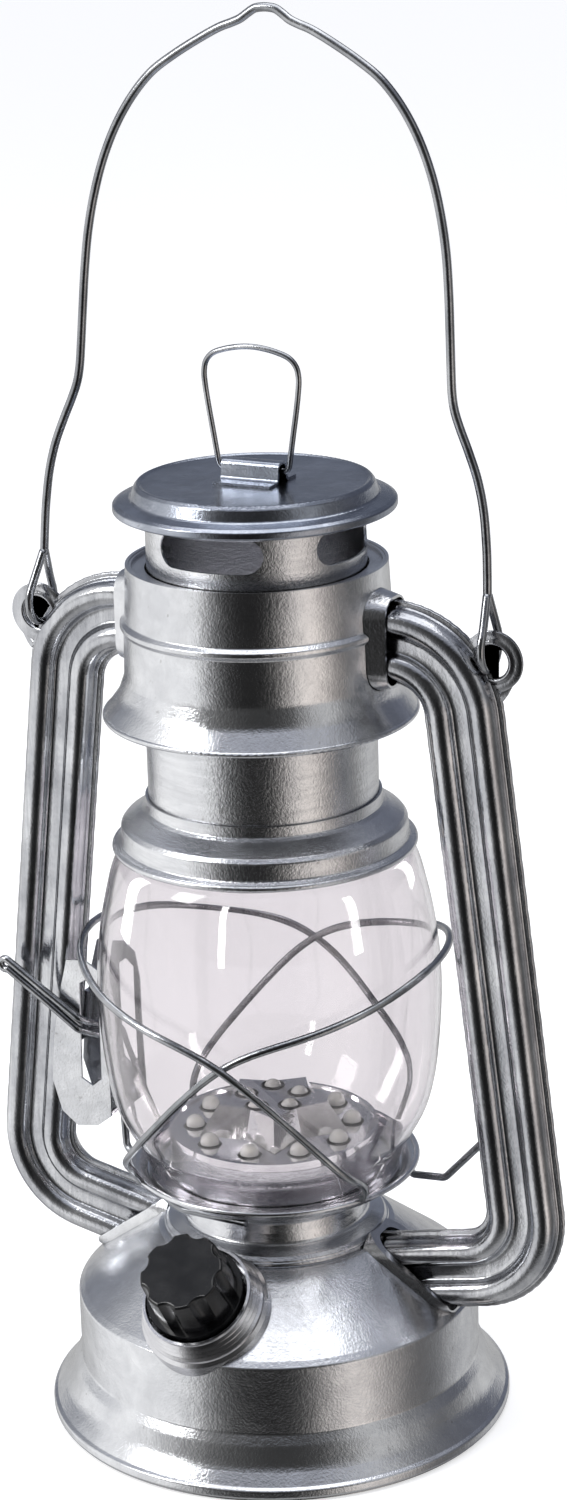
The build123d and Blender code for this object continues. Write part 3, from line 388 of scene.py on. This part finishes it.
# side tubes: pressed halves with two broad round ridges, a deep channel between them and a crimped seam flange
def fillet_line(pts, radii, step=0.6):
    """Straight runs joined by arcs, in (x, z)."""
    out = [Vector(pts[0])]
    for i in range(1, len(pts) - 1):
        p, a, b = Vector(pts[i]), Vector(pts[i - 1]), Vector(pts[i + 1])
        u, w = (a - p).normalized(), (b - p).normalized()
        half = math.acos(max(-1, min(1, u.dot(w)))) / 2
        t = radii[i - 1] / math.tan(half)
        c = p + (u + w).normalized() * (radii[i - 1] / math.sin(half))
        s0, s1 = p + u * t, p + w * t
        a0, a1 = math.atan2(s0.y - c.y, s0.x - c.x), math.atan2(s1.y - c.y, s1.x - c.x)
        d = (a1 - a0 + math.pi) % (2 * math.pi) - math.pi
        n = max(6, int(abs(d) * radii[i - 1] / step))
        out += [c + Vector((math.cos(a0 + d * k / n), math.sin(a0 + d * k / n))) * radii[i - 1] for k in range(n + 1)]
    out.append(Vector(pts[-1]))
    dense = [out[0]]
    for q in out[1:]:
        g = (q - dense[-1]).length
        m = max(1, int(g / 2.2))
        st = dense[-1].copy()
        dense += [st.lerp(q, k / m) for k in range(1, m + 1)]
    return dense


# outer face of a half across the tube (offset from the centre line, height over the seam), mm
SEC = [(-10.85, 0.0), (-10.85, 0.50), (-10.5, 0.60), (-9.75, 0.62), (-9.35, 0.80), (-9.15, 1.6), (-9.05, 2.7), (-8.7, 3.9), (-8.0, 4.9), (-6.9, 5.45),
       (-5.7, 5.58), (-4.5, 5.40), (-3.5, 4.85), (-2.8, 4.1), (-2.45, 3.3), (-2.15, 2.75), (-1.6, 2.5), (-0.8, 2.45), (0.0, 2.45)]
SEC = SEC + [(-a, b) for a, b in reversed(SEC[:-1])]
INN = [(9.0, 0.0), (8.6, 2.6), (7.4, 4.3), (5.7, 4.95), (4.2, 4.6), (2.9, 3.2), (1.7, 1.9), (0.0, 1.8)]
INN = INN + [(-a, b) for a, b in reversed(INN[:-1])]
HOLE, HOLE_R, EAR_R = Vector((64.8, 213.2)), 4.2, 7.8


def tube_half(name, side, half):
    path = fillet_line([(33.0, 215.6), (54.9, 215.6), (74.1, 50.8), (30.0, 41.32)], [19.0, 17.5])
    # stop where the shoulder begins
    loop = SEC + INN
    n = len(path)
    bm = bmesh.new()
    rings = []
    for i, q in enumerate(path):
        t = (path[min(i + 1, n - 1)] - path[max(i - 1, 0)]).normalized()
        out = Vector((-t.y, t.x))                       # outward: up at the top, away from the body lower down
        ring = []
        for k, (a, b) in enumerate(loop):
            # crimp marks along the outer and inner flange edges
            pinch = 0.07 * math.sin(i * 2.1) if k in (0, 1, 2, len(SEC) - 3, len(SEC) - 2, len(SEC) - 1) else 0.0
            w = q + out * (a + (pinch if a > 0 else -pinch) - (0.07 if abs(a) > 10 and a > 0 else -0.07 if abs(a) > 10 else 0))
            ring.append(bm.verts.new((side * w.x * MM, half * b * MM, w.y * MM)))
        rings.append(ring)
    m = len(loop)
    for a, b in zip(rings, rings[1:]):
        for k in range(m):
            bm.faces.new((a[k], a[(k + 1) % m], b[(k + 1) % m], b[k]))
    for ring in (rings[0], rings[-1]):
        # close the sheet's cut end strip by strip
        so, si = ring[:len(SEC)], list(reversed(ring[len(SEC):]))
        js = [round(x * (len(si) - 1) / (len(so) - 1)) for x in range(len(so))]
        for k in range(len(so) - 1):
            v = [so[k], so[k + 1], si[js[k + 1]]]
            if js[k] != js[k + 1]:
                v.append(si[js[k]])
            bm.faces.new(v)
    # ear stamped out with the flange, with a raised lip round its hole
    segs = 64
    edge_in, edge_out = [], []
    for k in range(segs):
        w = 2 * math.pi * k / segs
        d = Vector((math.cos(w), math.sin(w)))
        r = EAR_R
        p = HOLE + d * r
        edge_out.append(p)
        edge_in.append(HOLE + d * HOLE_R)
    prof = [(0.0, 0.0, 0), (0.0, 0.55, 0), (0.12, 0.95, 0), (0.22, 1.0, 0), (0.34, 0.72, 0), (0.55, 0.58, 0), (1.0, 0.56, 0), (1.0, 0.0, 0)]
    er = []
    for f, h, _ in prof:
        er.append([bm.verts.new((side * (edge_in[k].lerp(edge_out[k], f)).x * MM, half * h * MM, (edge_in[k].lerp(edge_out[k], f)).y * MM)) for k in range(segs)])
    for a, b in zip(er, er[1:] + er[:1]):
        for k in range(segs):
            bm.faces.new((a[k], a[(k + 1) % segs], b[(k + 1) % segs], b[k]))
    # web between the ear and the shoulder of the tube
    web = [(57.6, 217.6), (60.4, 219.9), (63.0, 220.8), (66.0, 220.9), (69.2, 219.6), (70.9, 217.6), (66.2, 218.2), (62.6, 217.2), (60.6, 214.5),
           (60.6, 211.4), (62.4, 208.6), (65.6, 207.9), (69.8, 207.3), (68.4, 204.7), (67.3, 203.2), (66.0, 205.0), (64.6, 207.0), (62.2, 209.8), (59.0, 213.8)]
    lo = [bm.verts.new((side * x * MM, 0.0, z * MM)) for x, z in web]
    hi = [bm.verts.new((side * x * MM, half * 0.54 * MM, z * MM)) for x, z in web]
    wf = [bm.faces.new(hi), bm.faces.new(list(reversed(lo)))]
    for k in range(len(web)):
        q = (k + 1) % len(web)
        bm.faces.new((lo[k], lo[q], hi[q], hi[k]))
    bmesh.ops.triangulate(bm, faces=wf)
    bmesh.ops.recalc_face_normals(bm, faces=bm.faces)
    for f in bm.faces:
        f.smooth = True
    me = bpy.data.meshes.new(name)
    bm.to_mesh(me)
    bm.free()
    ob = link(name, me, M_tube, "frame", (name.replace("seamed_", ""),))
    return ob


for side, sn in ((1, "right"), (-1, "left")):
    for half, hn in ((-1, "front"), (1, "back")):
        ob = tube_half(f"seamed_tube_{sn}_{hn}", side, half)
        md = ob.modifiers.new("creases", "WEIGHTED_NORMAL")
        md.keep_sharp = True

# bail: one smooth wire, each end passed through its ear and doubled back
LEAN, AX = math.radians(-5.0), 0.217
half = [(62.9, 12.4), (62.7, 18.0), (62.3, 25.0), (61.3, 33.5), (59.5, 41.0), (57.0, 47.5), (54.6, 53.0), (53.0, 57.3), (52.2, 61.5),
        (51.8, 67.0), (51.3, 76.0), (50.7, 86.0), (49.7, 96.0), (47.9, 105.5), (45.3, 114.5), (41.6, 123.0), (37.0, 130.3), (31.6, 136.3),
        (25.5, 140.6), (19.0, 144.4), (13.0, 147.5), (9.2, 148.9), (6.8, 149.9), (4.9, 151.2), (2.9, 152.4), (0.9, 152.75)]
line = [Vector((x, 0, z)) for x, z in half] + [Vector((-x, 0, z)) for x, z in reversed(half)]


def lean(v):
    y, z = v.y * MM, v.z * MM
    return Vector((v.x * MM, y * math.cos(LEAN) - z * math.sin(LEAN), AX + y * math.sin(LEAN) + z * math.cos(LEAN)))


parts = [tube_mesh("t", [lean(q) for q in bspline(line, 6)], 0.00113, 16)]
for side in (1, -1):
    eye = []
    for k in range(0, 41):
        w = math.radians(-128 + 256 * k / 40 - 90)
        eye.append(Vector((side * (63.8 - 0.15 * math.cos(w)), 6.05 * math.cos(w), 6.05 * math.sin(w))))
    # straight sides of the teardrop up to the neck
    a, b = eye[0], eye[-1]
    top_a = [a.lerp(Vector((side * 62.95, a.y * 0.10, 12.6)), t) for t in (1.0, 0.75, 0.5, 0.25)]
    top_b = [b.lerp(Vector((side * 62.95, b.y * 0.10, 12.6)), t) for t in (0.25, 0.5, 0.75, 1.0)]
    parts.append(tube_mesh("t", [lean(q) for q in bspline(top_a + eye[1:-1] + top_b, 3)], 0.00108, 14))
parts_mesh = join_meshes("bail_wire", parts)
link("bail_wire", parts_mesh, M_wire, "handle", ("bail",))

# lift ring: rounded D of lighter wire, its foot inside the strap
ring_line = [(-9.2, 0), (-9.9, 1.2), (-10.4, 4.0), (-11.3, 9.5), (-12.3, 15.5), (-13.0, 20.5), (-13.2, 23.8), (-12.6, 26.6), (-10.7, 28.7),
             (-7.6, 29.9), (-3.8, 30.7), (0, 31.0)]
ring_line = ring_line + [(-x, z) for x, z in reversed(ring_line[:-1])]
pts = bspline([Vector((x, 0, 256.7 + z)) * MM for x, z in ring_line], 6)
pts += [Vector((x, 0, 256.7)) * MM for x in (7.5, 4.0, 0.0, -4.0, -7.5)]
link("lift_ring_wire", tube_mesh("lift_ring_wire", pts, 0.00074, 14, closed=True), M_wire, "ring", ("lift_ring",))

# hood spring: open coil with its end turns laid flat
coil = []
for k in range(0, 241):
    w = k / 240
    turn = 4.6 * 2 * math.pi * w
    lift = 18.0 * min(1.0, max(0.0, (w - 0.12) / 0.76)) if w < 0.88 else 18.0
    lift = 18.0 * (3 * ((w - 0.08) / 0.84) ** 2 - 2 * ((w - 0.08) / 0.84) ** 3) * 0.25 + 18.0 * ((w - 0.08) / 0.84) * 0.75 if 0.08 < w < 0.92 else (0.0 if w <= 0.08 else 18.0)
    coil.append(Vector((30.4 * math.cos(turn), 30.4 * math.sin(turn), 206.1 + 0.9 * lift)) * MM)
spring_piece = link("hood_coil_spring", tube_mesh("hood_coil_spring", coil, 0.0006, 10), M_wire, "hood", ("hood_spring",))
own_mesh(spring_piece)

# the LED dies and their leadframe cups, seen through the domes
led_at = [(20.9 * math.cos(math.radians(-153 + 36 * k)), 20.9 * math.sin(math.radians(-153 + 36 * k)), 78.5) for k in range(10)]
led_at += [(7.4 * math.cos(math.radians(-27 + 72 * k)), 7.4 * math.sin(math.radians(-27 + 72 * k)), 86.5) for k in range(5)]
bm = bmesh.new()
sec = [(0.0, 0.55), (0.55, 0.6), (0.95, 1.25), (1.1, 1.3), (1.1, 0.9), (0.75, 0.2), (0.55, -0.1), (0.0, -0.1)]
for cx, cy, cz in led_at:
    rings = []
    for r, z in sec:
        rings.append([bm.verts.new(((cx + r * math.cos(2 * math.pi * k / 20)) * MM, (cy + r * math.sin(2 * math.pi * k / 20)) * MM, (cz + z) * MM)) for k in range(20)] if r > 0
                     else [bm.verts.new((cx * MM, cy * MM, (cz + z) * MM))])
    for a, b in zip(rings, rings[1:]):
        for k in range(20):
            q = (k + 1) % 20
            if len(a) == 1:
                bm.faces.new((a[0], b[k], b[q]))
            elif len(b) == 1:
                bm.faces.new((a[k], b[0], a[q]))
            else:
                bm.faces.new((a[k], b[k], b[q], a[q]))
bmesh.ops.recalc_face_normals(bm, faces=bm.faces)
for f in bm.faces:
    f.smooth = True
me = bpy.data.meshes.new("led_dies")
bm.to_mesh(me)
bm.free()
die, nt, b = new_mat("led_phosphor")
v = coords(nt)
nt.links.new(mix(nt, ramp(nt, noise(nt, v, 900, 3, 0.5), [(0.35, 0.0), (0.7, 1.0)]), (0.85, 0.78, 0.45), (0.95, 0.92, 0.70)), b.inputs["Base Color"])
nt.links.new(ramp(nt, noise(nt, v, 1300, 2, 0.5), [(0.3, 0.15), (0.8, 0.4)]), b.inputs["Roughness"])
link("led_dies", me, die, "frame")

# painted shade: a dark ring round each LED, where the dome meets the disc
bm = bmesh.new()
for i, (cx, cy, cz) in enumerate(led_at):
    z0 = 78.42 if i < 10 else 86.42
    sec = [(2.45, 0.0), (2.45, 0.30), (2.66, 0.42), (3.05, 0.28), (3.25, 0.0)]
    rings = [[bm.verts.new(((cx + r * math.cos(2 * math.pi * k / 28)) * MM, (cy + r * math.sin(2 * math.pi * k / 28)) * MM, (z0 + z) * MM)) for k in range(28)] for r, z in sec]
    for a, b in zip(rings, rings[1:] + rings[:1]):
        for k in range(28):
            bm.faces.new((a[k], a[(k + 1) % 28], b[(k + 1) % 28], b[k]))
bmesh.ops.recalc_face_normals(bm, faces=bm.faces)
for f in bm.faces:
    f.smooth = True
me = bpy.data.meshes.new("led_painted_shade_rings")
bm.to_mesh(me)
bm.free()
link("led_painted_shade_rings", me, M_led_shade_ring, "frame")

# ------------------------------------------------------------------ stage
bm = bmesh.new()
bmesh.ops.create_grid(bm, x_segments=8, y_segments=8, size=30.0)
me = bpy.data.meshes.new("floor")
bm.to_mesh(me)
bm.free()
floor = bpy.data.objects.new("floor", me)
floor.location = (0, 0, -0.0002)
sc.collection.objects.link(floor)
fm, nt, b = new_mat("floor_paper")
b.inputs["Base Color"].default_value = (0.86, 0.86, 0.865, 1)
b.inputs["Roughness"].default_value = 0.9
b.inputs["Specular IOR Level"].default_value = 0.0
b.inputs["Emission Color"].default_value = (1, 1, 1, 1)
b.inputs["Emission Strength"].default_value = 0.62
# clear from below, so that the underside and the hatch can be looked at
geo, clear, both = nt.nodes.new("ShaderNodeNewGeometry"), nt.nodes.new("ShaderNodeBsdfTransparent"), nt.nodes.new("ShaderNodeMixShader")
nt.links.new(geo.outputs["Backfacing"], both.inputs[0])
nt.links.new(b.outputs[0], both.inputs[1])
nt.links.new(clear.outputs[0], both.inputs[2])
nt.links.new(both.outputs[0], nt.nodes["Material Output"].inputs["Surface"])
floor.data.materials.append(fm)
floor.visible_glossy = False

world = bpy.data.worlds.new("studio")
sc.world = world
world.use_nodes = True
wt = world.node_tree
bg = wt.nodes["Background"]
tc = wt.nodes.new("ShaderNodeTexCoord")
sep = wt.nodes.new("ShaderNodeSeparateXYZ")
wt.links.new(tc.outputs["Generated"], sep.inputs[0])


def math_node(op, a, b=None, c=None):
    n = wt.nodes.new("ShaderNodeMath")
    n.operation = op
    for i, v in enumerate((a, b, c)):
        if v is None:
            continue
        if isinstance(v, (int, float)):
            n.inputs[i].default_value = v
        else:
            wt.links.new(v, n.inputs[i])
    return n.outputs[0]


X, Y, Z = sep.outputs
u = math_node("ADD", math_node("MULTIPLY", X, math.cos(az)), math_node("MULTIPLY", Y, math.sin(az)))
vv = math_node("ADD", math_node("MULTIPLY", X, math.sin(az)), math_node("MULTIPLY", Y, -math.cos(az)))
theta = math_node("ARCTAN2", u, vv)                       # 0 in front of the object, + to its right
fac = math_node("MULTIPLY_ADD", theta, 1 / (2 * math.pi), 0.5)
deg = lambda d: d / 360 + 0.5
around = ramp(wt, fac, [
    (deg(-180), 0.55), (deg(-155), 0.50), (deg(-128), 0.85), (deg(-108), 1.3), (deg(-95), 3.5), (deg(-86), 10.0), (deg(-73), 7.0),
    (deg(-58), 1.1), (deg(-43), 0.16), (deg(-26), 0.015), (deg(3), 0.015), (deg(18), 0.05), (deg(32), (0.85, 0.80, 0.76)),
    (deg(45), (1.05, 0.95, 0.88)), (deg(60), (0.40, 0.37, 0.35)), (deg(84), 0.07), (deg(106), 0.20), (deg(126), 0.70), (deg(150), 0.45),
    (deg(180), 0.55)], "B_SPLINE")
high = ramp(wt, fac, [
    (deg(-180), (0.20, 0.22, 0.27)), (deg(-125), (0.16, 0.17, 0.20)), (deg(-92), 1.5), (deg(-64), 0.40), (deg(-34), 0.05), (deg(10), 0.03),
    (deg(34), 0.10), (deg(50), 0.85), (deg(72), 0.10), (deg(130), (0.12, 0.13, 0.17)), (deg(180), (0.20, 0.22, 0.27))], "B_SPLINE")
zf = math_node("MULTIPLY_ADD", Z, 0.5, 0.5)
z_mid = ramp(wt, zf, [(0.0, 0.0), (0.16, 0.0), (0.30, 1.0), (0.50, 1.0), (0.56, 0.0), (1.0, 0.0)], "EASE")
z_top = ramp(wt, zf, [(0.5, 0.0), (0.80, 0.0), (0.93, 1.0)], "EASE")
z_low = ramp(wt, zf, [(0.06, 1.0), (0.24, 0.0)], "EASE")
col = mix(wt, z_mid, high, around)
col = mix(wt, z_top, col, (0.48, 0.50, 0.56))
col = mix(wt, z_low, col, (0.50, 0.50, 0.50))
path_in = wt.nodes.new("ShaderNodeLightPath")
wt.links.new(mix(wt, path_in.outputs["Is Camera Ray"], col, (0.97, 0.97, 0.97)), bg.inputs["Color"])
bg.inputs["Strength"].default_value = 1.0


def area(name, loc, aim, size, power, size_y=None):
    l = bpy.data.lights.new(name, "AREA")
    l.energy = power
    l.size = size
    if size_y:
        l.shape = "RECTANGLE"
        l.size_y = size_y
    o = bpy.data.objects.new(name, l)
    o.location = loc
    o.rotation_mode = "QUATERNION"
    o.rotation_quaternion = (Vector(aim) - Vector(loc)).to_track_quat("-Z", "Y")
    sc.collection.objects.link(o)
    return o


fwd = Vector((math.sin(az), -math.cos(az), 0))            # towards the camera
area("key", -right * 0.9 + fwd * 0.35 + Vector((0, 0, 0.9)), (0, 0, 0.12), 0.35, 5.0, 0.7)
area("top", Vector((0, 0, 1.5)) - fwd * 0.2, (0, 0, 0), 1.2, 7.0)

# tall narrow windows that only the glass sees
only = bpy.data.collections.new("glass_only")
only.objects.link(bpy.data.objects["glass_globe"])
for nm, th, w, h, p, zc in (("window_a", -31, 0.07, 0.50, 2.6, 0.36), ("window_b", -112, 0.16, 0.60, 3.4, 0.30), ("window_c", 62, 0.10, 0.45, 1.6, 0.32),
                            ("window_d", 128, 0.14, 0.55, 2.0, 0.30)):
    t = math.radians(th)
    o = area(nm, (fwd * math.cos(t) + right * math.sin(t)) * 0.85 + Vector((0, 0, zc)), (0, 0, 0.13), w, p, h)
    o.light_linking.receiver_collection = only
